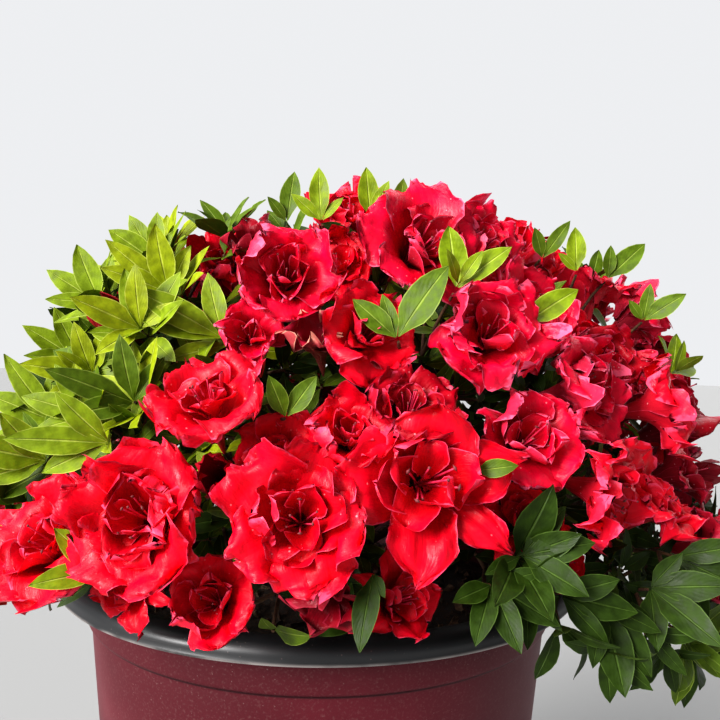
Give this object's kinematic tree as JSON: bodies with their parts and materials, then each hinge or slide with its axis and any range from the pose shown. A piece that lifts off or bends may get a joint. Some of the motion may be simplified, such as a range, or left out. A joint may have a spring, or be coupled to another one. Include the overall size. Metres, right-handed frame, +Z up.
{
  "type": "azalea shrub",
  "caption": "Low dome-shaped azalea shrub in full red bloom, its boughs forking from a short stem, growing in a round burgundy nursery pot with a black rim.",
  "frame": {"origin": "centre of the pot's flat underside, on the surface that it stands on", "axes": "+Z straight up out of the pot, +X to the right and -Y towards the viewer, the side that the picture shows"},
  "size_m": [0.4265, 0.3993, 0.4579],
  "materials": {
    "burgundy_plastic": "satin, lightly scuffed",
    "black_plastic": "glossy black",
    "potting_mix": "damp, matt",
    "bark": "rough bark",
    "red_blossom": "soft petals",
    "green_leaves": "soft leaves"
  },
  "bodies": {
    "root": {"bough_low_back_left": "bark", "bough_low_back_right": "bark", "bough_low_front": "bark", "bough_low_left": "bark", "bough_low_left_front": "bark", "bough_low_right": "bark", "bough_low_right_back": "bark", "bough_low_right_front": "bark", "bough_mid_back_left": "bark", "bough_mid_back_right": "bark", "bough_mid_front": "bark", "bough_mid_front_left": "bark", "bough_mid_front_right": "bark", "bough_mid_left": "bark", "bough_mid_right": "bark", "bough_top_front": "bark", "bough_top_left": "bark", "bough_top_right": "bark", "foliage_low_back_left": "green_leaves", "foliage_low_back_right": "red_blossom", "foliage_low_front": "red_blossom", "foliage_low_left": "red_blossom", "foliage_low_left_front": "green_leaves", "foliage_low_right": "red_blossom", "foliage_low_right_back": "red_blossom", "foliage_low_right_front": "green_leaves", "foliage_mid_back_left": "red_blossom", "foliage_mid_back_right": "green_leaves", "foliage_mid_front": "red_blossom", "foliage_mid_front_left": "green_leaves", "foliage_mid_front_right": "red_blossom", "foliage_mid_left": "green_leaves", "foliage_mid_right": "red_blossom", "foliage_top_front": "green_leaves", "foliage_top_left": "red_blossom", "foliage_top_right": "red_blossom", "pot_rim": "black_plastic", "pot_wall": "burgundy_plastic", "potting_mix": "potting_mix", "stem": "bark"}
  },
  "joints": []
}
